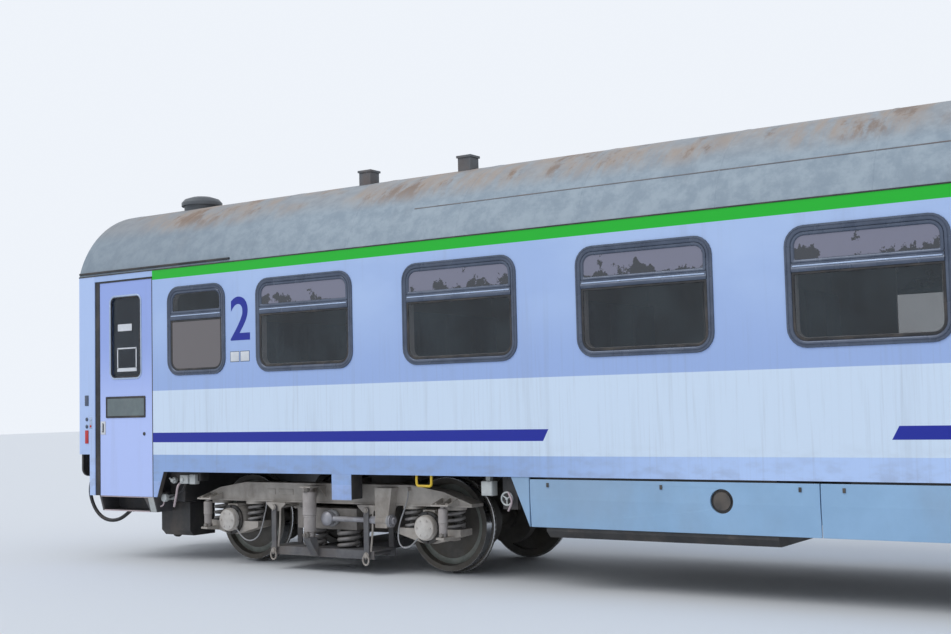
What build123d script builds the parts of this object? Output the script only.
from build123d import *
import os
from math import asin, cos, degrees, radians, sin, sqrt, tan

os.makedirs("parts", exist_ok=True)

# A four-axle passenger coach. X runs along it, the near side is at -Y, and Z = 0 is under the
# wheel flanges, where it stands. All sizes are in millimetres.

# Wheels and track
wheel_radius = 460
flange_depth = 28
flange_round = 14
flange_root = 40
tread_fall = 5
rim_depth = 60
rim_slope = 4
web_thick = 30
web_at_rim = 60
web_at_hub = 75
hub_radius = 150
hub_taper = 12
hub_stand_in = 15
rail_head = flange_depth
wheel_back = 680
wheel_width = 135
wheelbase = 2600
axle_z = rail_head + wheel_radius

# Body shell
body_length = 25880
body_width = 2825
wall = 60
side_foot = rail_head + 975
cantrail = rail_head + 3200
roof_top = rail_head + 4050
crown_radius = 3000
eave_lean = 14
roof_skin = 60
floor_top = rail_head + 1250
floor_thick = 60
ceiling_z = rail_head + 3450
ceiling_thick = 20
seat_gap = 0.3

half_length = body_length / 2
pivot_from_end = 3440
pivot_spread = body_length - 2 * pivot_from_end
half_width = body_width / 2
inner_half = half_width - wall
end_inner = half_length - wall
floor_low = floor_top - floor_thick

# Side windows: eleven wide ones in equal bays and a narrow one at each end
bays = 11
bays_from_end = 2468
bay = (body_length - 2 * bays_from_end) / bays
window_width = 1290
toilet_window_width = 875
toilet_window_x = half_length - 1899
window_sill = rail_head + 2017
window_height = 974
window_corner = 165
window_cover = 50
frame_face = 55
frame_proud = 14
frame_inner_corner = 60
vent_face = 85
vent_bar_low = rail_head + 2620
vent_bar_high = rail_head + 2690
glass = 8

# Entrance doors, one on each side at each end
door_edge_strip = 75
door_left = 268
door_right = 1222
door_sill = rail_head + 697
door_head = rail_head + 3130
door_leaf_thick = 45
door_inset = 12
door_glass_left = 520
door_glass_right = 1020
door_glass_sill = rail_head + 2016
door_glass_head = rail_head + 2940
door_glass_corner = 70
corner_notch = 173
corner_notch_z = rail_head + 1160
door_post_right = 1277
door_post_slant = 104

# Entrance stairs behind each door, and the open step box that hangs under it
well_left = 300
well_right = 1200
well_inner = inner_half - 452.5
tread_y = well_inner + 230
tread_low = door_sill + 43
tread_high = floor_low - 195
stair_back = well_inner - 40
step_left = 320
step_right = 1212
step_low = rail_head + 525
step_inset = 15
step_lean = 50
step_deep = 280
step_sheet = 12
recess_left = 349
recess_right = 1048
recess_flare = 50

# Ends
gangway_half = 450
gangway_head = 1980
headstock_x = 240
headstock_thick = 60
headstock_low = rail_head + 850
end_door_thick = 40
end_door_side = 20
end_door_run = 840
end_door_off = 6
end_door_foot = 8
end_light_width = 480
end_light_low = 900
end_light_high = 1650
rail_tall = 40
rail_deep = 60
tube_radius = 125
tube_y = gangway_half + tube_radius + 25
tube_bend = 220
tube_stand = 4
tube_over_door = 185
tube_over_buffer = 25
lamp_y = 1130
lamp_z = rail_head + 1900
lamp_radius = 85
lamp_rim = 12
lamp_deep = 45
handrail_y = 1270
handrail_low = rail_head + 1380
handrail_high = rail_head + 2580
handrail_stand = 70
handrail_bend = 35
handrail_radius = 14

# Side buffers
buffer_z = rail_head + 1060
buffer_y = 875
buffer_face_x = half_length + 260
buffer_root = half_length - headstock_x
base_wide = 360
base_tall = 250
base_thick = 25
casing_radius = 112
casing_foot_radius = 124
casing_collar = 30
casing_long = 270
plunger_radius = 100
head_width = 600
head_height = 340
head_thick = 35
head_corner = 90
head_bevel = 8
tube_low = buffer_z + head_height / 2 + tube_over_buffer

# Draw gear: a hook with its screw coupling hanging from it
hook_z = rail_head + 1020
hook_thick = 60
hook_reach = 260
hook_tip_x = buffer_root + hook_reach
hook_round = 9
hook_pin_back = 120
hook_pin_radius = 24
link_thick = 28
link_gap = 46
link_wide = 62
link_long = 300
trunnion_radius = 26
trunnion_over = 34
screw_radius = 20
screw_long = 230
shackle_wide = 150
shackle_long = 330
shackle_bar = 32

# Jumper sockets on the headstock, and the dummy receptacle that parks the plug under the stairs
socket_y = 1180
socket_z = headstock_low + 122
socket_plate = 110
socket_plate_thick = 12
socket_barrel_radius = 42
socket_barrel = 58
socket_nose_radius = 24
socket_nose = 20
receptacle_radius = 40
receptacle_long = 120
receptacle_hanger = 70
jumper_diameter = 42
sensor_diameter = 14
arc_share = 0.45

# Compartments and corridor
partition = 30
corridor_width = 732.5
corridor_wall_y = inner_half - corridor_width
doorway_half = 340
doorway_head = 1950
vestibule_wall_x = half_length - 1280
lining_clear = 2
seat_depth = 600
seat_height = 430
cushion_thick = 180
back_thick = 120
back_height = 900
bench_clear = 20
rack_height = 1750
rack_depth = 380
rack_thick = 18
rack_lip = 60

# Underframe
sole_bar = 122
channel_steel = 14
pivot_beam_half = 300
cross_beam = 80
beam_low = side_foot + 60
sill_y = 300
sill_width = 100
pivot_radius = 230
pivot_top = rail_head + 930
jack_x = pivot_spread / 2 - 448
jack_long = 252
jack_low = rail_head + 730
jack_outer = half_width - 12.5
jack_inner = jack_outer - 160
end_beam_x = half_length - 1340

# Underfloor
skirt_low = rail_head + 533
skirt_high = rail_head + 955
skirt_thick = 30
skirt_inset = 8
skirt_seam = 8
skirt_crease = rail_head + 780
skirt_tuck = 14
skirt_gusset = 190
skirt_run = pivot_spread / 2 - 2610
skirt_outer = half_width - skirt_inset
charge_x = 1826 - skirt_run
charge_z = rail_head + 800
charge_hole = 100
charge_clear = 25
charge_inset = 8
case_bevel = 60
end_case_left = 1000
end_case_right = 1450
end_case_low = rail_head + 250
end_case_high = rail_head + 620
end_case_y = 900
end_case_wide = 380
end_hanger_y = 740
end_hanger = 60

# Roof ventilators
mushroom_x = 1026 - half_length
mushroom_y = -450
mushroom_radius = 238
mushroom_neck = 205
mushroom_low = roof_top - 12
mushroom_high = roof_top + 28
mushroom_crown = roof_top + 108
vent_root = 200
box_vent_y = -600
box_vent_high = roof_top + 78
box_vent_lid = 12
box_vent_lid_thick = 22

# Bogies: lengths along X from the bogie's own centre
side_frame_y = 1030
side_frame_width = 200
side_frame_low = rail_head + 660
side_frame_high = rail_head + 860
side_frame_flat = 1100
side_frame_knee = 1480
side_frame_end = 1800
side_frame_knee_z = rail_head + 800
side_frame_end_z = rail_head + 690
side_frame_rim = 16
side_frame_recess = 10
transom_x = 480
transom_radius = 75
transom_z = rail_head + 765
bolster_half = 390
bolster_reach_in = 1110
bolster_low = rail_head + 400
bolster_high = rail_head + 610
bolster_belly = 70
belly_start = 880
belly_flat = 620
plank_half = 680
plank_low = rail_head + 130
plank_high = rail_head + 215
plank_inner = 850
plank_outer = 1210
plank_cross = 250
plank_steel = 16
plank_foot_top = 50
plank_foot_root = 15
plank_foot_thick = 25
link_x = 610
link_offset = 192
link_plate = 18
link_bar_wide = 60
link_pin_radius = 18
link_pin_drop = 45
link_foot_rise = 42
hanger_half = 130
hanger_foot_half = 36
hanger_drop = 75
hanger_plate = 15
hanger_cheek = 16
hanger_cheek_offset = 162
primary_spread = 250
primary_radius = 95
primary_seat = rail_head + 445
pocket_gap = 3
pocket_wall = 10
pocket_deep = 32
secondary_x = 225
secondary_radius = 125

# Axle boxes and axles
box_radius = 152
box_pad_half = 70
box_high = rail_head + 625
wing_half = 365
wing_tip = 60
wing_root = 140
cap_flange_radius = 150
cap_flange = 30
cap_radius = 120
cap_end = 1220
cap_bevel = 14
cap_taper = 30
gland_radius = 15
gland_long = 30 - seat_gap
gland_root = 110
gland_y = 1175
journal_radius = 65
journal_gap = 0.3
wheel_seat_radius = 95
seat_start = 660
seat_end = 920
journal_end = 1120
axle_body_radius = 85
disc_radius = 300
disc_thick = 110
disc_y = 350
disc_hub_radius = 130
disc_hub = 50

# Dampers
damper_y = 1250
damper_radius = 45
damper_low = rail_head + 385
damper_high = rail_head + 680
damper_reach = 1310
damper_arm = 45
damper_arm_tip = 20
damper_lug = 90
damper_slim = 0.8
damper_cover = 0.5
damper_head = 30
bracket_plate = 14
bracket_wide = 200
bracket_rib = 12
bracket_rib_rise = 50
secondary_damper_x = -65
secondary_damper_y = 1300
secondary_damper_radius = 70
secondary_damper_low = rail_head + 330
secondary_damper_high = rail_head + 830
secondary_bracket_wide = 140
secondary_bracket_reach = 1372
secondary_rib_drop = 110
secondary_rib_reach = 100

# Anchor rods between the bolster and the side frame
rod_z = rail_head + 515
rod_y = 1190
rod_radius = 27
rod_collar_radius = 36
rod_collar_x = 648
rod_collar = 60
rod_bush_radius = 70
rod_bush = 115
rod_bush_x = 90
rod_nose_radius = 45
rod_nose = 18
rod_bracket_left = 720
rod_bracket_right = 930
rod_bracket_foot_right = 860
rod_bracket_high = rail_head + 835
rod_bracket_low = rail_head + 445
rod_bracket_deep = 100
rod_boss_radius = 48
rod_boss_x = 890
rod_disc_radius = 62
rod_disc = 14
rod_nut_radius = 34
rod_nut = 30

wheel_xs = [side * wheelbase / 2 for side in (-1, 1)]
bogie_xs = {"1": -pivot_spread / 2, "2": pivot_spread / 2}
window_xs = [bay * (i - (bays - 1) / 2) for i in range(bays)]
# centre, width
windows = [(x, window_width) for x in window_xs]
windows += [(side * toilet_window_x, toilet_window_width) for side in (-1, 1)]
window_mid = window_sill + window_height / 2
# share of the skirt row's half length
skirt_shares = [-1, -0.6154, -0.2293, 0.2293, 0.6154, 1]
skirt_seams = [share * skirt_run for share in skirt_shares]
# clear of the left seam, clear of the right seam, height over the rail, inner edge
cases = [
    (150, 360, 440, 500),
    (240, 220, 560, 620),
    (380, 380, 500, 500),
    (320, 340, 560, 620),
    (260, 190, 470, 500),
]
# distance from the end, length along X, width across
box_vents = [(3665, 150, 150), (4935, 150, 150)]
# X from the hook's tip, height over its centre line
hook_outline = [(-60, -65), (0, -5), (-8, 92), (-58, 100), (-95, 20), (-150, 20), (-165, 45)]
hook_shank = 45
# X, Y, Z of the jumper from its socket's mouth, down its loop and up to the receptacle
socket_mouth = (-buffer_root - socket_plate_thick - socket_barrel - socket_nose, -socket_y, socket_z)
jumper_steps = [
    (0, 0, 0), (-80, 0, 0), (-170, -6, -50), (-222, -10, -145), (-236, -12, -265), (-202, -6, -385),
    (-142, 8, -488), (-60, 28, -558), (40, 54, -588), (145, 84, -576), (240, 112, -520), (330, 122, -452),
]
jumper_route = [tuple(a + b for a, b in zip(socket_mouth, step)) for step in jumper_steps]
# X, Y, Z of the two speed sensor leads on the left bogie's near side, from its centre
sensor_leads = {
    "sensor_cable_left": [
        (-1201, -1175, 389), (-1160, -1175, 348), (-1108, -1186, 308), (-1048, -1190, 282),
        (-985, -1188, 276), (-925, -1182, 296), (-880, -1172, 342), (-856, -1160, 405),
        (-844, -1146, 475), (-836, -1132, 550), (-828, -1110, 622), (-828, -1110, 687.7),
    ],
    "sensor_cable_right": [
        (1070, -1150, 834), (1070, -1150, 775), (1048, -1155, 712), (1024, -1160, 642),
        (996, -1168, 572), (974, -1176, 498), (966, -1184, 425), (972, -1190, 358),
        (1000, -1194, 306), (1050, -1192, 284), (1108, -1184, 300), (1160, -1175, 348),
        (1201, -1175, 389),
    ],
}
# share of a mushroom's radius, share of its dome's height
mushroom_dome = [(1, 0), (0.85, 0.5), (0.5, 0.85), (0, 1)]
# clip that holds the right lead on the bogie frame, from the bogie's centre
clip_x = 1070
clip_wide = 36
clip_low = rail_head + 806 + seat_gap
clip_tall = 30
clip_reach = 1172


def keep(piece, name):
    """Label a finished piece and write it."""
    piece.part.label = name
    export_step(piece.part, f"parts/{name}.step")


def from_end(distance):
    """X of a place that lies so far from the left end of the body."""
    return distance - half_length


# Roof section: a wide crown arc that meets a tighter shoulder arc on each side. The shoulder
# starts at the cantrail with the eave's lean and runs tangent into the crown.
crown_rise = cantrail - (roof_top - crown_radius)
shoulder_radius = (crown_radius**2 - crown_rise**2 - half_width**2) / (
    2 * (crown_radius - crown_rise * sin(radians(eave_lean)) - half_width * cos(radians(eave_lean)))
)
shoulder_y = half_width - shoulder_radius * cos(radians(eave_lean))
shoulder_z = cantrail - shoulder_radius * sin(radians(eave_lean))
meet_angle = degrees(asin(shoulder_y / (crown_radius - shoulder_radius)))


def roof_line(inset):
    """Half-width at the cantrail, shoulder's middle, crown's edge and crown's top, an inset inside."""
    radius = shoulder_radius - inset
    foot_rise = cantrail - shoulder_z
    foot = (shoulder_y + sqrt(radius**2 - foot_rise**2), cantrail)
    foot_angle = degrees(asin(foot_rise / radius))
    middle = radians((foot_angle + 90 - meet_angle) / 2)
    edge = radians(90 - meet_angle)
    return (
        foot,
        (shoulder_y + radius * cos(middle), shoulder_z + radius * sin(middle)),
        (shoulder_y + radius * cos(edge), shoulder_z + radius * sin(edge)),
        (0, roof_top - inset),
    )


def roof_half_width(z, inset):
    """Half-width of the roof's shoulder at a height."""
    return shoulder_y + sqrt((shoulder_radius - inset) ** 2 - (z - shoulder_z) ** 2)


def arch(inset, foot_z, foot_half):
    """Closed section in YZ: straight sides up to the cantrail with the roof's curve on top."""
    foot, middle, edge, top = roof_line(inset)
    left = [(-y, z) for y, z in (foot, middle, edge)]
    below = [(-foot_half, foot_z), (foot_half, foot_z)] if foot_z < cantrail else []
    with BuildLine() as line:
        Polyline(left[0], *below, foot)
        ThreePointArc(foot, middle, edge)
        ThreePointArc(edge, top, left[2])
        ThreePointArc(left[2], left[1], left[0])
    return line.edges()


def tube_radii(points):
    """Radius of the arc at each corner of a route, as large as its two runs allow."""
    radii = []
    for before, corner, after in zip(points, points[1:], points[2:]):
        arriving = Vector(*corner) - Vector(*before)
        leaving = Vector(*after) - Vector(*corner)
        half_turn = radians(arriving.get_angle(leaving)) / 2
        radii.append(arc_share * min(arriving.length, leaving.length) / tan(half_turn))
    return radii


def along(start, end):
    """Plane at the start of a run, facing along it."""
    return Plane(origin=start, z_dir=Vector(*end) - Vector(*start))


# Side walls, with the windows and the doorways cut through
door_xs = (from_end(door_left), from_end(door_right))
side_points = [
    (-half_length, cantrail),
    (-half_length, corner_notch_z),
    (from_end(corner_notch), corner_notch_z),
    (from_end(corner_notch), door_sill),
    (from_end(door_post_right), door_sill),
    (from_end(door_post_right + door_post_slant), side_foot),
]
side_points += [(-x, z) for x, z in reversed(side_points)]

with BuildPart() as side_wall_near:
    with BuildSketch(Plane.XZ.offset(half_width)):
        with BuildLine():
            Polyline(*side_points, close=True)
        make_face()
        for x, width in windows:
            with Locations((x, window_mid)):
                Rectangle(width - 2 * window_cover, window_height - 2 * window_cover, mode=Mode.SUBTRACT)
        for side in (-1, 1):
            with Locations((side * (door_xs[0] + door_xs[1]) / 2, (door_sill + door_head) / 2)):
                Rectangle(door_xs[1] - door_xs[0], door_head - door_sill, mode=Mode.SUBTRACT)
    extrude(amount=-wall)
keep(side_wall_near, "side_wall_near")

with BuildPart() as side_wall_far:
    mirror(side_wall_near.part, about=Plane.XZ)
keep(side_wall_far, "side_wall_far")

# Window frames lie on the wall, each with a lower light and an upper vent light
lower_light_low = window_sill + frame_face
lower_light_tall = vent_bar_low - lower_light_low
upper_light_high = window_sill + window_height - frame_face
upper_light_tall = upper_light_high - vent_bar_high
with BuildPart() as window_frames:
    with BuildSketch(Plane.XZ.offset(half_width)):
        for x, width in windows:
            with Locations((x, window_mid)):
                RectangleRounded(width, window_height, window_corner)
        for x, width in windows:
            with Locations((x, lower_light_low + lower_light_tall / 2)):
                Rectangle(width - 2 * frame_face, lower_light_tall, mode=Mode.SUBTRACT)
            with Locations((x, vent_bar_high + upper_light_tall / 2)):
                Rectangle(width - 2 * vent_face, upper_light_tall, mode=Mode.SUBTRACT)
    extrude(amount=frame_proud)
    uprights = window_frames.edges().filter_by(Axis.Y)
    corners = [e for e in uprights if abs(e.center().Z - lower_light_low) < 1]
    corners += [e for e in uprights if abs(e.center().Z - upper_light_high) < 1]
    fillet(corners, radius=frame_inner_corner)
    mirror(about=Plane.XZ)
keep(window_frames, "window_frames")

# Panes of the side windows and of the entrance doors
door_plane_y = half_width - door_inset
door_glass_mid = (from_end((door_glass_left + door_glass_right) / 2), (door_glass_sill + door_glass_head) / 2)
with BuildPart() as window_glass:
    with BuildSketch(Plane.XZ.offset(half_width)):
        for x, width in windows:
            with Locations((x, window_mid)):
                Rectangle(width - 2 * (window_cover + seat_gap), window_height - 2 * (window_cover + seat_gap))
    extrude(amount=-glass)
    with BuildSketch(Plane.XZ.offset(door_plane_y - (door_leaf_thick - glass) / 2)):
        for side in (-1, 1):
            with Locations((side * door_glass_mid[0], door_glass_mid[1])):
                RectangleRounded(door_glass_right - door_glass_left - 2 * seat_gap,
                                 door_glass_head - door_glass_sill - 2 * seat_gap, door_glass_corner)
    extrude(amount=-glass)
    mirror(about=Plane.XZ)
keep(window_glass, "window_glass")

# Entrance doors: four plug doors, each in its doorway with a black finger strip at one edge
leaf_left = door_left + door_edge_strip
door_mid_z = (door_sill + door_head) / 2
with BuildPart() as entrance_doors:
    with BuildSketch(Plane.XZ.offset(door_plane_y)):
        for side in (-1, 1):
            with Locations((side * from_end((leaf_left + door_right) / 2), door_mid_z)):
                Rectangle(door_right - leaf_left - seat_gap, door_head - door_sill - 2 * seat_gap)
            with Locations((side * door_glass_mid[0], door_glass_mid[1])):
                RectangleRounded(door_glass_right - door_glass_left, door_glass_head - door_glass_sill,
                                 door_glass_corner, mode=Mode.SUBTRACT)
    extrude(amount=-door_leaf_thick)
    mirror(about=Plane.XZ)
keep(entrance_doors, "entrance_doors")

with BuildPart() as door_edge_rubbers:
    with BuildSketch(Plane.XZ.offset(door_plane_y)):
        for side in (-1, 1):
            with Locations((side * from_end((door_left + leaf_left) / 2), door_mid_z)):
                Rectangle(door_edge_strip - 2 * seat_gap, door_head - door_sill - 2 * seat_gap)
    extrude(amount=-door_leaf_thick)
    mirror(about=Plane.XZ)
keep(door_edge_rubbers, "door_edge_rubbers")

# Roof shell, from cantrail to cantrail
with BuildPart() as roof:
    with BuildSketch(Plane.YZ.offset(-half_length)):
        make_face(arch(0, cantrail, half_width))
        make_face(arch(roof_skin, cantrail, roof_line(roof_skin)[0][0]), mode=Mode.SUBTRACT)
    extrude(amount=body_length)
keep(roof, "roof")

# Floor and underframe: floor plate with a stairwell at each door, channel sole bars, centre sills,
# cross beams and pivot beams
cross_xs = [0, bay, 2 * bay, pivot_spread / 2 - wheelbase, end_beam_x]
headstock_inner = half_length - headstock_x - headstock_thick
sole_outer = inner_half - seat_gap
channel_tall = floor_low - side_foot - 2 * channel_steel
beam_reach = 2 * (sole_outer - channel_steel)
with BuildPart() as underframe:
    with BuildSketch(Plane.XY.offset(floor_low)):
        Rectangle(2 * end_inner - 2 * seat_gap, 2 * inner_half - 2 * seat_gap)
        for side in (-1, 1):
            for hand in (-1, 1):
                well_mid = half_length - (well_left + well_right) / 2
                with Locations((side * well_mid, hand * (well_inner + inner_half) / 2)):
                    Rectangle(well_right - well_left, inner_half - well_inner, mode=Mode.SUBTRACT)
    extrude(amount=floor_thick)
    with BuildSketch(Plane.YZ.offset(door_post_right - half_length)):
        for hand in (-1, 1):
            with Locations((hand * (sole_outer - sole_bar / 2), (side_foot + floor_low) / 2)):
                Rectangle(sole_bar, floor_low - side_foot)
            with Locations((hand * (sole_outer - channel_steel - sole_bar / 2), (side_foot + floor_low) / 2)):
                Rectangle(sole_bar, channel_tall, mode=Mode.SUBTRACT)
    extrude(amount=2 * (half_length - door_post_right))
    with BuildSketch(Plane.XY.offset(side_foot)):
        for side in (-1, 1):
            with Locations((side * pivot_spread / 2, 0)):
                Rectangle(2 * pivot_beam_half, beam_reach)
    extrude(amount=floor_low - side_foot)
    with BuildSketch(Plane.XY.offset(beam_low)):
        for hand in (-1, 1):
            with Locations((0, hand * sill_y)):
                Rectangle(2 * (headstock_inner - seat_gap), sill_width)
        for x in cross_xs:
            for side in (-1, 1) if x else (1,):
                with Locations((side * x, 0)):
                    Rectangle(cross_beam, beam_reach)
    extrude(amount=floor_low - beam_low)
keep(underframe, "underframe")

with BuildPart() as headstocks:
    with BuildSketch(Plane.XY.offset(headstock_low)):
        for side in (-1, 1):
            with Locations((side * (headstock_inner + headstock_thick / 2), 0)):
                Rectangle(headstock_thick, 2 * inner_half - 2 * sole_bar)
    extrude(amount=floor_low - seat_gap - headstock_low)
keep(headstocks, "headstocks")

# Round centre pads under the pivot beams, and the jacking pads under the side walls
with BuildPart() as bearing_pads:
    with BuildSketch(Plane.XY.offset(pivot_top + seat_gap)):
        for x in bogie_xs.values():
            with Locations((x, 0)):
                Circle(pivot_radius)
    extrude(amount=side_foot - pivot_top - 2 * seat_gap)
    with BuildSketch(Plane.XY.offset(jack_low)):
        for side in (-1, 1):
            for hand in (-1, 1):
                with Locations((side * jack_x, hand * (jack_inner + jack_outer) / 2)):
                    Rectangle(jack_long, jack_outer - jack_inner)
    extrude(amount=side_foot - seat_gap - jack_low)
keep(bearing_pads, "bearing_pads")

# End walls close the body section; each has the gangway doorway and the door's hanging rail
door_top = floor_top + gangway_head + end_door_side
rail_left = -gangway_half - end_door_side
rail_right = gangway_half + end_door_side + end_door_run
with BuildPart() as end_wall_left:
    with BuildSketch(Plane.YZ.offset(-half_length)):
        make_face(arch(roof_skin + seat_gap, floor_low, roof_line(roof_skin + seat_gap)[0][0]))
        with Locations((0, floor_top + gangway_head / 2)):
            Rectangle(2 * gangway_half, gangway_head, mode=Mode.SUBTRACT)
    extrude(amount=wall)
    with BuildSketch(Plane.YZ.offset(-end_inner)):
        with Locations(((rail_left + rail_right) / 2, door_top + seat_gap + rail_tall / 2)):
            Rectangle(rail_right - rail_left, rail_tall)
    extrude(amount=rail_deep)
keep(end_wall_left, "end_wall_left")

with BuildPart() as end_wall_right:
    with Locations(Location((0, 0, 0), (0, 0, 180))):
        add(end_wall_left.part)
keep(end_wall_right, "end_wall_right")

# Gangway doors: one leaf at each end that slides behind the end wall on its rail
with BuildPart() as gangway_door_left:
    with BuildSketch(Plane.YZ.offset(-end_inner + end_door_off)):
        with Locations((0, (floor_top + end_door_foot + door_top) / 2)):
            Rectangle(2 * (gangway_half + end_door_side), door_top - floor_top - end_door_foot)
        with Locations((0, floor_top + (end_light_low + end_light_high) / 2)):
            Rectangle(end_light_width, end_light_high - end_light_low, mode=Mode.SUBTRACT)
    extrude(amount=end_door_thick)
keep(gangway_door_left, "gangway_door_left")

with BuildPart() as gangway_door_right:
    with Locations(Location((0, 0, 0), (0, 0, 180))):
        add(gangway_door_left.part)
keep(gangway_door_right, "gangway_door_right")

# Handrails beside the gangway: a bent rod with both feet on the end wall
handrail_x = half_length + handrail_stand
with BuildPart() as end_handrails:
    with BuildLine():
        FilletPolyline((half_length, handrail_y, handrail_low), (handrail_x, handrail_y, handrail_low),
                       (handrail_x, handrail_y, handrail_high), (half_length, handrail_y, handrail_high),
                       radius=handrail_bend)
    with BuildSketch(Plane.YZ.offset(half_length)):
        with Locations((handrail_y, handrail_low)):
            Circle(handrail_radius)
    sweep()
    mirror(about=Plane.XZ)
    mirror(about=Plane.YZ)
keep(end_handrails, "end_handrails")

# Ceiling panel and the walls under it
ceiling_half = roof_half_width(ceiling_z + ceiling_thick, roof_skin) - 1
with BuildPart() as ceiling:
    with BuildSketch(Plane.XY.offset(ceiling_z)):
        Rectangle(2 * end_inner - 2 * seat_gap, 2 * ceiling_half)
    extrude(amount=ceiling_thick)
keep(ceiling, "ceiling")

wall_foot_half = inner_half - lining_clear - seat_gap
wall_top_half = ceiling_half - lining_clear
lintel_low = floor_top + doorway_head
cross_wall_xs = [bay * (i - bays / 2) for i in range(bays + 1)] + [-vestibule_wall_x, vestibule_wall_x]
with BuildPart() as inner_walls:
    for x in cross_wall_xs:
        with BuildSketch(Plane.YZ.offset(x - partition / 2)):
            with BuildLine():
                Polyline((-wall_foot_half, floor_top), (corridor_wall_y, floor_top),
                         (corridor_wall_y, ceiling_z), (-wall_top_half, ceiling_z),
                         (-wall_foot_half, cantrail), close=True)
            make_face()
        extrude(amount=partition)
    with BuildSketch(Plane.XY.offset(floor_top)):
        edges = [-vestibule_wall_x] + [x + side * doorway_half for x in window_xs for side in (-1, 1)]
        edges += [vestibule_wall_x]
        for start, end in zip(edges[::2], edges[1::2]):
            with Locations(((start + end) / 2, corridor_wall_y + seat_gap + partition / 2)):
                Rectangle(end - start, partition)
    extrude(amount=doorway_head - seat_gap)
    with BuildSketch(Plane.XY.offset(lintel_low)):
        with Locations((0, corridor_wall_y + seat_gap + partition / 2)):
            Rectangle(2 * vestibule_wall_x, partition)
    extrude(amount=ceiling_z - lintel_low)
keep(inner_walls, "inner_walls")

# Facing benches, two to a compartment, each a cushion and a back on a cross wall
bench_low, bench_high = -(wall_foot_half - bench_clear), corridor_wall_y - bench_clear
bench_mid, bench_long = (bench_low + bench_high) / 2, bench_high - bench_low
with BuildPart() as seats:
    for x in window_xs:
        for side in (-1, 1):
            back_x = x + side * (bay - partition) / 2 - side * seat_gap
            cushion_z = floor_top + seat_height - cushion_thick / 2
            with Locations((back_x - side * seat_depth / 2, bench_mid, cushion_z)):
                Box(seat_depth, bench_long, cushion_thick)
            with Locations((back_x - side * back_thick / 2, bench_mid,
                            floor_top + seat_height + seat_gap + back_height / 2)):
                Box(back_thick, bench_long, back_height)
keep(seats, "seats")

# Luggage racks: a shelf over each bench, turned down along its front edge
rack_z = floor_top + rack_height
with BuildPart() as luggage_racks:
    for x in window_xs:
        for side in (-1, 1):
            wall_x = x + side * (bay - partition) / 2 - side * seat_gap
            front_x = wall_x - side * rack_depth
            with BuildSketch(Plane.XZ.offset(-bench_high)):
                with BuildLine():
                    Polyline((wall_x, rack_z), (front_x, rack_z), (front_x, rack_z - rack_lip),
                             (front_x + side * rack_thick, rack_z - rack_lip),
                             (front_x + side * rack_thick, rack_z - rack_thick), (wall_x, rack_z - rack_thick),
                             close=True)
                make_face()
            extrude(amount=bench_long)
keep(luggage_racks, "luggage_racks")

# Side buffers: base plate, tapered casing, plunger and a broad flat head
casing_end = buffer_root + base_thick + casing_long
# X, radius
buffer_points = [
    (buffer_root, 0), (buffer_root, casing_foot_radius), (buffer_root + base_thick, casing_foot_radius),
    (buffer_root + base_thick + casing_collar, casing_radius), (casing_end, casing_radius),
    (casing_end, plunger_radius), (buffer_face_x - head_thick, plunger_radius), (buffer_face_x - head_thick, 0),
]
with BuildPart() as buffers:
    for hand in (-1, 1):
        with BuildSketch(Plane.YZ.offset(buffer_root)):
            with Locations((hand * buffer_y, buffer_z)):
                Rectangle(base_wide, base_tall)
        extrude(amount=base_thick)
        with BuildSketch(Plane.XY.offset(buffer_z)):
            with BuildLine():
                Polyline(*[(x, hand * buffer_y + radius) for x, radius in buffer_points], close=True)
            make_face()
        revolve(axis=Axis((0, hand * buffer_y, buffer_z), (1, 0, 0)))
        with BuildSketch(Plane.YZ.offset(buffer_face_x - head_thick)):
            with Locations((hand * buffer_y, buffer_z)):
                RectangleRounded(head_width, head_height, head_corner)
        extrude(amount=head_thick)
    chamfer(buffers.faces().group_by(Axis.X)[-1].edges(), length=head_bevel)
    mirror(about=Plane.YZ)
keep(buffers, "buffers")

# Rubber gangway tube: one fat loop round the doorway, on a flat strip fixed to the end wall
tube_x = half_length + tube_radius + tube_stand
tube_high = floor_top + gangway_head + tube_over_door
strip_half = tube_y + tube_radius / 2
strip_high = tube_high + tube_radius / 2
with BuildPart() as gangway_tubes:
    with BuildLine():
        FilletPolyline((tube_x, -tube_y, tube_low), (tube_x, -tube_y, tube_high), (tube_x, tube_y, tube_high),
                       (tube_x, tube_y, tube_low), radius=tube_bend)
    with BuildSketch(Plane.XY.offset(tube_low)):
        with Locations((tube_x, -tube_y)):
            Circle(tube_radius)
    sweep()
    with BuildSketch(Plane.YZ.offset(half_length)) as strip:
        with BuildLine():
            Polyline((-strip_half, tube_low), (-strip_half, strip_high), (strip_half, strip_high),
                     (strip_half, tube_low), (strip_half - tube_radius, tube_low),
                     (strip_half - tube_radius, strip_high - tube_radius),
                     (-strip_half + tube_radius, strip_high - tube_radius), (-strip_half + tube_radius, tube_low),
                     close=True)
        make_face()
        fillet(strip.vertices().group_by(Axis.Y)[1], radius=tube_bend - tube_radius / 2)
        fillet(strip.vertices().group_by(Axis.Y)[-1], radius=tube_bend + tube_radius / 2)
    extrude(amount=tube_x - half_length)
    mirror(about=Plane.YZ)
keep(gangway_tubes, "gangway_tubes")

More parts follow.
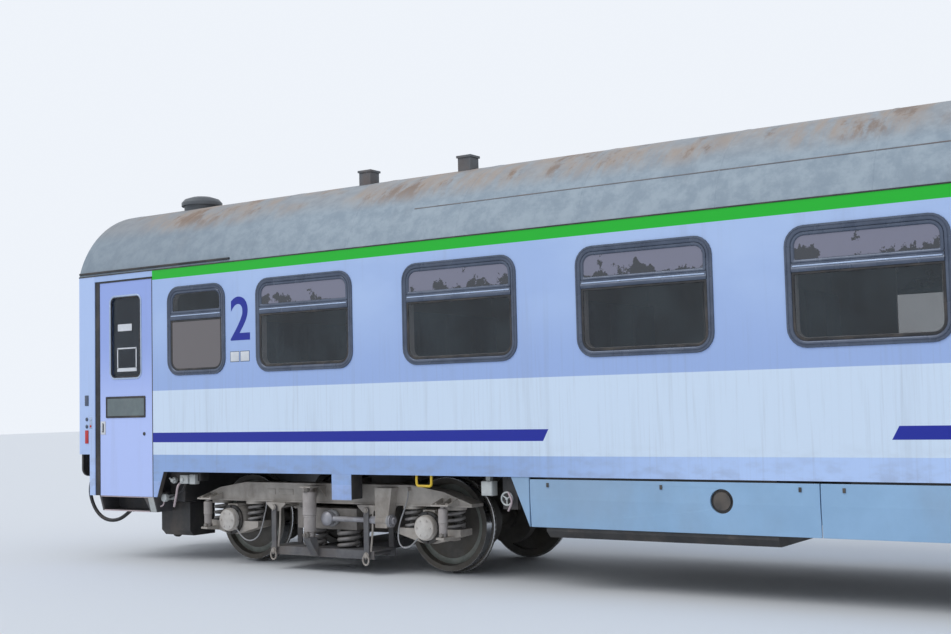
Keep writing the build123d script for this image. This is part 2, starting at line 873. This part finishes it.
# Draw gear: a hook on the headstock, and a screw coupling whose links hang from its pin
pin_x = hook_tip_x - hook_pin_back
pin_half = link_gap + link_thick
trunnion_z = hook_z - link_long
screw_low = trunnion_z - screw_long
with BuildPart() as draw_gear:
    with BuildSketch(Plane.XZ.offset(-hook_thick / 2)) as hook_face:
        with BuildLine():
            Polyline((buffer_root, hook_z + hook_shank), (buffer_root, hook_z - hook_shank),
                     *[(hook_tip_x + x, hook_z + z) for x, z in hook_outline], close=True)
        make_face()
        fillet(hook_face.vertices().sort_by(Axis.X)[2:], radius=hook_round)
    extrude(amount=hook_thick)
    with BuildSketch(Plane.XZ.offset(-pin_half)):
        with Locations((pin_x, hook_z)):
            Circle(hook_pin_radius)
    extrude(amount=2 * pin_half)
    for hand in (-1, 1):
        with BuildSketch(Plane.XZ.offset(hand * (link_gap + link_thick / 2) - link_thick / 2)):
            with Locations((pin_x, (hook_z + trunnion_z) / 2)):
                SlotCenterToCenter(link_long, link_wide, rotation=90)
        extrude(amount=link_thick)
    for z in (trunnion_z, screw_low):
        with BuildSketch(Plane.XZ.offset(-(pin_half + trunnion_over))):
            with Locations((pin_x, z)):
                Circle(trunnion_radius)
        extrude(amount=2 * (pin_half + trunnion_over))
    with BuildSketch(Plane.XY.offset(screw_low)):
        with Locations((pin_x, 0)):
            Circle(screw_radius)
    extrude(amount=screw_long)
    with BuildSketch(Plane.YZ.offset(pin_x - shackle_bar / 2)):
        with Locations((0, screw_low - shackle_long / 2)):
            SlotCenterToCenter(shackle_long, shackle_wide, rotation=90)
            SlotCenterToCenter(shackle_long, shackle_wide - 2 * shackle_bar, rotation=90, mode=Mode.SUBTRACT)
    extrude(amount=shackle_bar)
    mirror(about=Plane.YZ)
keep(draw_gear, "draw_gear")

# Jumper sockets: a plated barrel with a tapered nose on each side of a headstock, and a dummy
# receptacle on a hanger under each stair, where the plug is parked
receptacle_plane = Plane(origin=jumper_route[-1], z_dir=Vector(*jumper_route[-1]) - Vector(*jumper_route[-2]))
receptacle_mid = receptacle_plane.from_local_coords(Vector(0, 0, receptacle_long / 2))
with BuildPart() as jumper_sockets:
    with BuildSketch(Plane.YZ.offset(-buffer_root)):
        with Locations((-socket_y, socket_z)):
            RectangleRounded(socket_plate, socket_plate, socket_plate_thick)
    extrude(amount=-socket_plate_thick)
    with BuildSketch(Plane.YZ.offset(-buffer_root - socket_plate_thick)):
        with Locations((-socket_y, socket_z)):
            Circle(socket_barrel_radius)
    extrude(amount=-socket_barrel)
    with BuildSketch(Plane.YZ.offset(-buffer_root - socket_plate_thick - socket_barrel)):
        with Locations((-socket_y, socket_z)):
            Circle(socket_barrel_radius)
    with BuildSketch(Plane.YZ.offset(socket_mouth[0])):
        with Locations((-socket_y, socket_z)):
            Circle(socket_nose_radius)
    loft()
    with BuildSketch(receptacle_plane):
        Circle(receptacle_radius)
    extrude(amount=receptacle_long)
    with BuildSketch(Plane.XY.offset(receptacle_mid.Z)):
        with Locations((receptacle_mid.X, receptacle_mid.Y)):
            Rectangle(receptacle_hanger, receptacle_hanger)
    extrude(amount=door_sill - seat_gap - receptacle_mid.Z)
    mirror(about=Plane.XZ)
    mirror(about=Plane.YZ)
keep(jumper_sockets, "jumper_sockets")

# The jumper that hangs at the left end's near corner
with BuildPart() as jumper:
    with BuildLine():
        FilletPolyline(*jumper_route, radius=tube_radii(jumper_route))
    with BuildSketch(along(*jumper_route[:2])):
        Circle(jumper_diameter / 2)
    sweep()
keep(jumper, "jumper_1")
print("jumper radii", [round(radius) for radius in tube_radii(jumper_route)])

# Entrance stairs behind each door, and the open step box under them, which leans in at its foot
step_top_y = half_width - step_inset
with BuildPart() as entrance_steps:
    with BuildSketch(Plane.YZ.offset(from_end(well_left))):
        with BuildLine():
            Polyline((-inner_half + seat_gap, door_sill), (-inner_half + seat_gap, tread_low),
                     (-tread_y, tread_low), (-tread_y, tread_high), (-well_inner, tread_high),
                     (-well_inner, floor_low), (-stair_back, floor_low), (-stair_back, door_sill), close=True)
        make_face()
    extrude(amount=well_right - well_left)
    with BuildSketch(Plane.YZ.offset(from_end(step_left))):
        with BuildLine():
            Polyline((-step_top_y, door_sill), (-step_top_y + step_lean, step_low),
                     (-step_top_y + step_deep, step_low), (-step_top_y + step_deep, door_sill), close=True)
        make_face()
    extrude(amount=step_right - step_left)
    with BuildSketch(Plane.XZ.offset(step_top_y)):
        with BuildLine():
            Polyline((from_end(recess_left), door_sill - step_sheet),
                     (from_end(recess_right), door_sill - step_sheet),
                     (from_end(recess_right + recess_flare), step_low + step_sheet),
                     (from_end(recess_left), step_low + step_sheet), close=True)
        make_face()
    extrude(amount=-(step_deep - step_sheet), mode=Mode.SUBTRACT)
    mirror(about=Plane.XZ)
    mirror(about=Plane.YZ)
keep(entrance_steps, "entrance_steps")

# Skirt panels between the bogies, with a slanted gusset at each end of the row
gusset_top = side_foot - seat_gap
gusset_edge = skirt_seams[-1] + skirt_seam / 2
with BuildPart() as skirts:
    for start, end in zip(skirt_seams, skirt_seams[1:]):
        with BuildSketch(Plane.YZ.offset(start + skirt_seam / 2)):
            with BuildLine():
                Polyline((-skirt_outer, skirt_high), (-skirt_outer, skirt_crease),
                         (-skirt_outer + skirt_tuck, skirt_low), (-skirt_outer + skirt_thick, skirt_low),
                         (-skirt_outer + skirt_thick, skirt_high), close=True)
            make_face()
        extrude(amount=end - start - skirt_seam)
    with BuildSketch(Plane.XZ.offset(skirt_outer)):
        for side in (-1, 1):
            with BuildLine():
                Polyline((side * (gusset_edge + skirt_gusset), gusset_top), (side * gusset_edge, gusset_top),
                         (side * gusset_edge, skirt_low), close=True)
            make_face()
    extrude(amount=-skirt_thick)
    with BuildSketch(Plane.XZ.offset(skirt_outer)):
        with Locations((charge_x, charge_z)):
            Circle(charge_hole)
    extrude(amount=-skirt_thick, mode=Mode.SUBTRACT)
    mirror(about=Plane.XZ)
keep(skirts, "skirts")

# Equipment cases, one behind each skirt, each bevelled along its lower outer edge
case_outer = skirt_outer - skirt_thick - seat_gap
with BuildPart() as equipment_cases:
    for seams, (left, right, low, inner) in zip(zip(skirt_seams, skirt_seams[1:]), cases):
        case_low = rail_head + low
        with BuildSketch(Plane.YZ.offset(seams[0] + left)):
            with BuildLine():
                Polyline((-inner, side_foot), (-case_outer, side_foot), (-case_outer, case_low + case_bevel),
                         (-case_outer + case_bevel, case_low), (-inner, case_low), close=True)
            make_face()
        extrude(amount=seams[1] - right - seams[0] - left)
    with BuildSketch(Plane.XZ.offset(case_outer)):
        with Locations((charge_x, charge_z)):
            Circle(charge_hole - charge_clear)
    extrude(amount=skirt_thick - charge_inset)
    # case beside each entrance step, hung from the end cross beam
    end_case_in, end_case_out = end_case_y - end_case_wide / 2, end_case_y + end_case_wide / 2
    end_case_long = end_case_right - end_case_left
    for side in (-1, 1):
        with BuildSketch(Plane.YZ.offset(side * -from_end(end_case_left + end_case_long / 2) - end_case_long / 2)):
            with BuildLine():
                Polyline((-end_case_in, end_case_high), (-end_case_out, end_case_high),
                         (-end_case_out, end_case_low + case_bevel), (-end_case_out + case_bevel, end_case_low),
                         (-end_case_in, end_case_low), close=True)
            make_face()
        extrude(amount=end_case_long)
        with BuildSketch(Plane.XY.offset(end_case_high)):
            with Locations((side * end_beam_x, -end_hanger_y)):
                Rectangle(end_hanger, end_hanger)
        extrude(amount=beam_low - end_case_high)
    mirror(about=Plane.XZ)
keep(equipment_cases, "equipment_cases")

# Roof ventilators: a mushroom near each end and low box vents along the near shoulder, all cut
# off where they meet the roof
vent_foot = roof_top - vent_root
mushroom_points = [
    (mushroom_x, vent_foot), (mushroom_x + mushroom_neck, vent_foot), (mushroom_x + mushroom_neck, mushroom_low),
    (mushroom_x + mushroom_radius, mushroom_low),
]
mushroom_points += [
    (mushroom_x + out * mushroom_radius, mushroom_high + up * (mushroom_crown - mushroom_high))
    for out, up in mushroom_dome
]
with BuildPart() as roof_vents:
    with BuildSketch(Plane.XZ.offset(-mushroom_y)):
        with BuildLine():
            Polyline(*mushroom_points, close=True)
        make_face()
    revolve(axis=Axis((mushroom_x, mushroom_y, 0), (0, 0, 1)))
    for distance, long, across in box_vents:
        with Locations((from_end(distance), box_vent_y, (vent_foot + box_vent_high) / 2)):
            Box(long, across, box_vent_high - vent_foot)
        with Locations((from_end(distance), box_vent_y, box_vent_high - box_vent_lid_thick / 2)):
            Box(long + 2 * box_vent_lid, across + 2 * box_vent_lid, box_vent_lid_thick)
    with BuildSketch(Plane.YZ.offset(-half_length)):
        make_face(arch(-seat_gap, cantrail, roof_line(-seat_gap)[0][0]))
    extrude(amount=half_length, mode=Mode.SUBTRACT)
    mirror(about=Plane.YZ)
keep(roof_vents, "roof_vents")

# Tail lamps on the end walls, each in a low rim
with BuildPart() as tail_lamps:
    for radius, deep in ((lamp_radius + lamp_rim, lamp_rim), (lamp_radius, lamp_deep)):
        with BuildSketch(Plane.YZ.offset(half_length)):
            for hand in (-1, 1):
                with Locations((hand * lamp_y, lamp_z)):
                    Circle(radius)
        extrude(amount=deep)
    mirror(about=Plane.YZ)
keep(tail_lamps, "tail_lamps")

# Bogies. Each piece is drawn once for a bogie at X = 0, with the near side at -Y.
side_frame_points = [
    (-side_frame_end, side_frame_end_z), (-side_frame_knee, side_frame_knee_z),
    (-side_frame_flat, side_frame_high),
]
side_frame_points += [(-x, z) for x, z in reversed(side_frame_points)]
side_frame_points += [(side_frame_end, side_frame_low), (-side_frame_end, side_frame_low)]
side_frame_out = side_frame_y + side_frame_width / 2
side_frame_in = side_frame_y - side_frame_width / 2
girder_face = side_frame_out - side_frame_recess
damper_x = wheelbase / 2 + primary_spread
pocket_radius = primary_radius + pocket_gap
link_pin_z = side_frame_low - link_pin_drop
link_reach = link_offset + link_plate
hanger_z = side_frame_low - hanger_plate

# Bogie frame: two girders with sunk faces, joined by tubes, with the spring pockets, the damper
# and anchor rod brackets, and the hangers of the swing links under them
with BuildPart() as frame_master:
    with BuildSketch(Plane.XZ.offset(side_frame_in)):
        with BuildLine():
            Polyline(*side_frame_points, close=True)
        make_face()
    extrude(amount=side_frame_width)
    for face, inward in ((side_frame_out, -side_frame_recess), (side_frame_in, side_frame_recess)):
        with BuildSketch(Plane.XZ.offset(face)):
            with BuildLine():
                Polyline(*side_frame_points, close=True)
            make_face()
            offset(amount=-side_frame_rim, kind=Kind.INTERSECTION, mode=Mode.REPLACE)
        extrude(amount=inward, mode=Mode.SUBTRACT)
    with BuildSketch(Plane.XY.offset(side_frame_low)):
        for x in wheel_xs:
            for side in (-1, 1):
                with Locations((x + side * primary_spread, -side_frame_y)):
                    Circle(pocket_radius + pocket_wall)
                    Circle(pocket_radius, mode=Mode.SUBTRACT)
    extrude(amount=-pocket_deep)
    # bracket over each axle's damper, stiffened by two ribs
    with BuildSketch(Plane.XY.offset(damper_high)):
        for side in (-1, 1):
            with Locations((side * damper_x, -(girder_face + damper_reach) / 2)):
                Rectangle(bracket_wide, damper_reach - girder_face)
    extrude(amount=bracket_plate)
    for side in (-1, 1):
        for edge in (-bracket_wide / 2, bracket_wide / 2 - bracket_rib):
            with BuildSketch(Plane.YZ.offset(side * damper_x + edge)):
                with BuildLine():
                    Polyline((-girder_face, damper_high + bracket_plate),
                             (-damper_reach, damper_high + bracket_plate),
                             (-girder_face, damper_high + bracket_plate + bracket_rib_rise), close=True)
                make_face()
            extrude(amount=bracket_rib)
    # bracket over the secondary damper, with its ribs below
    with BuildSketch(Plane.XY.offset(secondary_damper_high)):
        with Locations((secondary_damper_x, -(girder_face + secondary_bracket_reach) / 2)):
            Rectangle(secondary_bracket_wide, secondary_bracket_reach - girder_face)
    extrude(amount=bracket_plate)
    for edge in (-secondary_bracket_wide / 2, secondary_bracket_wide / 2 - bracket_rib):
        with BuildSketch(Plane.YZ.offset(secondary_damper_x + edge)):
            with BuildLine():
                Polyline((-girder_face, secondary_damper_high),
                         (-side_frame_out - secondary_rib_reach, secondary_damper_high),
                         (-girder_face, secondary_damper_high - secondary_rib_drop), close=True)
            make_face()
        extrude(amount=bracket_rib)
    # anchor rod bracket with its boss
    with BuildSketch(Plane.XZ.offset(girder_face)):
        with BuildLine():
            Polyline((rod_bracket_left, rod_bracket_high), (rod_bracket_right, rod_bracket_high),
                     (rod_bracket_foot_right, rod_bracket_low), (rod_bracket_left, rod_bracket_low), close=True)
        make_face()
    extrude(amount=side_frame_recess + rod_bracket_deep)
    with BuildSketch(Plane.YZ.offset(rod_bracket_left)):
        with Locations((-rod_y, rod_z)):
            Circle(rod_boss_radius)
    extrude(amount=rod_boss_x - rod_bracket_left)
    # clip of the speed sensor's lead
    with BuildSketch(Plane.XY.offset(clip_low)):
        with Locations((clip_x, -(girder_face + clip_reach) / 2)):
            Rectangle(clip_wide, clip_reach - girder_face)
    extrude(amount=clip_tall)
    # hangers with their pins
    with BuildSketch(Plane.XY.offset(hanger_z)):
        for side in (-1, 1):
            with Locations((side * link_x, -side_frame_y)):
                Rectangle(2 * hanger_half, 2 * (hanger_cheek_offset + hanger_cheek))
    extrude(amount=hanger_plate)
    for side in (-1, 1):
        for start in (side_frame_y - hanger_cheek_offset - hanger_cheek, side_frame_y + hanger_cheek_offset):
            with BuildSketch(Plane.XZ.offset(start)):
                with BuildLine():
                    Polyline((side * link_x - hanger_half, hanger_z), (side * link_x + hanger_half, hanger_z),
                             (side * link_x + hanger_foot_half, hanger_z - hanger_drop),
                             (side * link_x - hanger_foot_half, hanger_z - hanger_drop), close=True)
                make_face()
            extrude(amount=hanger_cheek)
    with BuildSketch(Plane.XZ.offset(side_frame_y - link_reach)):
        for side in (-1, 1):
            with Locations((side * link_x, link_pin_z)):
                Circle(link_pin_radius)
    extrude(amount=2 * link_reach)
    mirror(about=Plane.XZ)
    with BuildSketch(Plane.XZ.offset(-side_frame_in - side_frame_recess)):
        for side in (-1, 1):
            with Locations((side * transom_x, transom_z)):
                Circle(transom_radius)
    extrude(amount=2 * (side_frame_in + side_frame_recess))

# Bolster, deeper in the middle, with the centre pivot on top
bolster_points = [
    (bolster_reach_in, bolster_high), (bolster_reach_in, bolster_low), (belly_start, bolster_low),
    (belly_flat, bolster_low - bolster_belly),
]
bolster_points += [(-y, z) for y, z in reversed(bolster_points)]
with BuildPart() as bolster_master:
    with BuildSketch(Plane.YZ.offset(-bolster_half)):
        with BuildLine():
            Polyline(*bolster_points, close=True)
        make_face()
    extrude(amount=2 * bolster_half)
    with BuildSketch(Plane.XY.offset(bolster_high)):
        Circle(pivot_radius)
    extrude(amount=pivot_top - bolster_high)

# Spring plank: channels open downward, hung on four pairs of link plates, with a foot for the
# secondary damper
plank_mid = (plank_inner + plank_outer) / 2
plank_tall = plank_high - plank_low
link_foot_z = plank_low + link_foot_rise
with BuildPart() as plank_master:
    with Locations((0, -plank_mid, (plank_low + plank_high) / 2)):
        Box(2 * plank_half, plank_outer - plank_inner, plank_tall)
    with Locations((0, -plank_mid, (plank_low + plank_high - plank_steel) / 2)):
        Box(2 * plank_half, plank_outer - plank_inner - 2 * plank_steel, plank_tall - plank_steel,
            mode=Mode.SUBTRACT)
    with BuildSketch(Plane.YZ.offset(secondary_damper_x - damper_lug / 2)):
        with BuildLine():
            Polyline((-plank_outer, plank_low), (-plank_outer, plank_high),
                     (-secondary_damper_y + plank_foot_top, secondary_damper_low),
                     (-secondary_damper_y - plank_foot_top, secondary_damper_low),
                     (-secondary_damper_y - plank_foot_top, secondary_damper_low - plank_foot_thick),
                     (-plank_outer - plank_foot_root, plank_low), close=True)
        make_face()
    extrude(amount=damper_lug)
    for start in (side_frame_y - link_reach, side_frame_y + link_offset):
        with BuildSketch(Plane.XZ.offset(start)):
            for side in (-1, 1):
                with Locations((side * link_x, (link_pin_z + link_foot_z) / 2)):
                    SlotCenterToCenter(link_pin_z - link_foot_z, link_bar_wide, rotation=90)
                with Locations((side * link_x, link_pin_z)):
                    Circle(link_pin_radius + seat_gap, mode=Mode.SUBTRACT)
        extrude(amount=link_plate)
    with BuildSketch(Plane.XZ.offset(side_frame_y - link_reach)):
        for side in (-1, 1):
            with Locations((side * link_x, link_foot_z)):
                Circle(link_pin_radius)
    extrude(amount=2 * link_reach)
    mirror(about=Plane.XZ)
    with Locations((0, 0, (plank_low + plank_high) / 2)):
        Box(2 * plank_cross, 2 * plank_inner, plank_tall)
    with Locations((0, 0, (plank_low + plank_high - plank_steel) / 2)):
        Box(2 * (plank_cross - plank_steel), 2 * plank_inner, plank_tall - plank_steel, mode=Mode.SUBTRACT)

with BuildPart() as springs_master:
    with BuildSketch(Plane.XY.offset(primary_seat)):
        for x in wheel_xs:
            for side in (-1, 1):
                with Locations((x + side * primary_spread, -side_frame_y)):
                    Circle(primary_radius)
    extrude(amount=side_frame_low - primary_seat)
    with BuildSketch(Plane.XY.offset(plank_high)):
        for side in (-1, 1):
            with Locations((side * secondary_x, -side_frame_y)):
                Circle(secondary_radius)
    extrude(amount=bolster_low - plank_high)
    mirror(about=Plane.XZ)

# Axle boxes: a round housing between the wings that carry the springs, with a bolted cap, the
# damper's arm and the gland of the speed sensor
gland_step = sin(radians(45))
with BuildPart() as axle_boxes_master:
    for x in wheel_xs:
        outward = 1 if x > 0 else -1
        with BuildSketch(Plane.XZ.offset(side_frame_in)):
            with Locations((x, axle_z)):
                Circle(box_radius)
            with Locations((x, (axle_z + box_high) / 2)):
                Rectangle(2 * box_pad_half, box_high - axle_z)
            with BuildLine():
                Polyline((x - wing_half, primary_seat), (x + wing_half, primary_seat),
                         (x + wing_half, primary_seat - wing_tip), (x + box_pad_half, primary_seat - wing_root),
                         (x - box_pad_half, primary_seat - wing_root), (x - wing_half, primary_seat - wing_tip),
                         close=True)
            make_face()
        extrude(amount=side_frame_width)
        with BuildSketch(Plane.XZ.offset(side_frame_out)):
            with Locations((x, axle_z)):
                Circle(cap_flange_radius)
        extrude(amount=cap_flange)
        with BuildSketch(Plane.XZ.offset(side_frame_out)):
            with Locations((x, axle_z)):
                Circle(cap_radius)
        extrude(amount=cap_end - side_frame_out - cap_bevel)
        with BuildSketch(Plane.XZ.offset(cap_end - cap_bevel)):
            with Locations((x, axle_z)):
                Circle(cap_radius)
        extrude(amount=cap_bevel, taper=cap_taper)
        with BuildSketch(Plane.YZ.offset(outward * damper_x - damper_lug / 2)):
            with BuildLine():
                Polyline((-side_frame_y, damper_low), (-damper_reach, damper_low),
                         (-damper_reach, damper_low - damper_arm_tip), (-side_frame_out, damper_low - damper_arm),
                         (-side_frame_y, damper_low - damper_arm), close=True)
            make_face()
        extrude(amount=damper_lug)
        gland_from = (x - outward * gland_root * gland_step, -gland_y, axle_z - gland_root * gland_step)
        with BuildSketch(Plane(origin=gland_from, z_dir=(-outward, 0, -1))):
            Circle(gland_radius)
        extrude(amount=gland_long)
        with BuildSketch(Plane.XZ.offset(side_frame_in)):
            with Locations((x, axle_z)):
                Circle(journal_radius + journal_gap)
        extrude(amount=side_frame_width, mode=Mode.SUBTRACT)
    mirror(about=Plane.XZ)

# Dampers: an oil cylinder with a wider dust cover over its upper half
with BuildPart() as dampers_master:
    for low, high, radius, xs, y in (
        (damper_low, damper_high, damper_radius, (-damper_x, damper_x), damper_y),
        (secondary_damper_low, secondary_damper_high, secondary_damper_radius,
         (secondary_damper_x,), secondary_damper_y),
    ):
        with BuildSketch(Plane.XY.offset(low)):
            for x in xs:
                with Locations((x, -y)):
                    Circle(damper_slim * radius)
        extrude(amount=high - low)
        with BuildSketch(Plane.XY.offset(high - damper_head)):
            for x in xs:
                with Locations((x, -y)):
                    Circle(radius)
        extrude(amount=-damper_cover * (high - low))
    mirror(about=Plane.XZ)

# Anchor rods: a rubber bush on the bolster, the rod with its collar, and a disc and nut behind
# the frame's bracket
with BuildPart() as rods_master:
    for start, radius, long in (
        (bolster_reach_in, rod_bush_radius, rod_bush),
        (bolster_reach_in + rod_bush, rod_nose_radius, rod_nose),
    ):
        with BuildSketch(Plane.XZ.offset(start)):
            with Locations((rod_bush_x, rod_z)):
                Circle(radius)
        extrude(amount=long)
    for start, end, radius in (
        (rod_bush_x, rod_bracket_left, rod_radius),
        (rod_collar_x, rod_collar_x + rod_collar, rod_collar_radius),
        (rod_boss_x, rod_boss_x + rod_disc, rod_disc_radius),
    ):
        with BuildSketch(Plane.YZ.offset(start)):
            with Locations((-rod_y, rod_z)):
                Circle(radius)
        extrude(amount=end - start)
    with BuildSketch(Plane.YZ.offset(rod_boss_x + rod_disc)):
        with Locations((-rod_y, rod_z)):
            RegularPolygon(rod_nut_radius, 6)
    extrude(amount=rod_nut)
    mirror(about=Plane.XZ)

# Wheels: rounded flange, sloping tread, rim, dished web and hub, as radius and Y
wheel_face = wheel_back + wheel_width
rim_inner = wheel_radius - rim_depth
bore = wheel_seat_radius + journal_gap
web_rim_y, web_hub_y = wheel_back + web_at_rim, wheel_back + web_at_hub
hub_face = wheel_face - hub_stand_in
flange_tip = wheel_radius + flange_depth
wheel_points = [
    (flange_tip - flange_round, wheel_back + 2 * flange_round), (wheel_radius, wheel_back + flange_root),
    (wheel_radius - tread_fall, wheel_face), (rim_inner + rim_slope, wheel_face),
    (rim_inner, web_rim_y + web_thick / 2), (hub_radius + hub_taper, web_hub_y + web_thick / 2),
    (hub_radius, hub_face), (bore, hub_face), (bore, wheel_back), (hub_radius, wheel_back),
    (hub_radius + hub_taper, web_hub_y - web_thick / 2), (rim_inner, web_rim_y - web_thick / 2),
    (rim_inner + rim_slope, wheel_back), (flange_tip - flange_round, wheel_back),
]
axle_line = Axis((0, 0, axle_z), (0, 1, 0))
with BuildPart() as wheels_master:
    with BuildSketch(Plane.XY.offset(axle_z)):
        with BuildLine():
            Polyline(*wheel_points)
            ThreePointArc(wheel_points[-1], (flange_tip, wheel_back + flange_round), wheel_points[0])
        make_face()
    revolve(axis=axle_line)
    mirror(about=Plane.XZ)

# Axles with their two brake discs, as radius and Y
disc_in, disc_out = disc_y - disc_thick / 2, disc_y + disc_thick / 2
axle_points = [
    (0, 0), (axle_body_radius, 0), (axle_body_radius, disc_in - disc_hub), (disc_hub_radius, disc_in - disc_hub),
    (disc_hub_radius, disc_in), (disc_radius, disc_in), (disc_radius, disc_out), (disc_hub_radius, disc_out),
    (disc_hub_radius, disc_out + disc_hub), (axle_body_radius, disc_out + disc_hub),
    (axle_body_radius, seat_start), (wheel_seat_radius, seat_start), (wheel_seat_radius, seat_end),
    (journal_radius, seat_end), (journal_radius, journal_end), (0, journal_end),
]
with BuildPart() as axle_master:
    with BuildSketch(Plane.XY.offset(axle_z)):
        with BuildLine():
            Polyline(*axle_points, close=True)
        make_face()
    revolve(axis=axle_line)
    mirror(about=Plane.XZ)

bogie_masters = {
    "bogie_frame": frame_master, "bolster": bolster_master, "spring_plank": plank_master,
    "coil_springs": springs_master, "axle_boxes": axle_boxes_master, "dampers": dampers_master,
    "anchor_rods": rods_master,
}
for tag, x in bogie_xs.items():
    for name, master in bogie_masters.items():
        with BuildPart() as placed:
            with Locations((x, 0, 0)):
                add(master.part if x < 0 else mirror(master.part, about=Plane.YZ, mode=Mode.PRIVATE))
        keep(placed, f"{name}_{tag}")
    for letter, axle_x in zip("ab", wheel_xs):
        for name, master in {"wheels": wheels_master, "axle": axle_master}.items():
            with BuildPart() as placed:
                with Locations((x + axle_x, 0, 0)):
                    add(master.part)
            keep(placed, f"{name}_{tag}{letter}")

# Speed sensor leads of the left bogie's near side
for name, points in sensor_leads.items():
    route = [(bogie_xs["1"] + x, y, z) for x, y, z in points]
    with BuildPart() as lead:
        with BuildLine():
            FilletPolyline(*route, radius=tube_radii(route))
        with BuildSketch(along(*route[:2])):
            Circle(sensor_diameter / 2)
        sweep()
    keep(lead, name)
    print(name, "radii", [round(radius) for radius in tube_radii(route)])
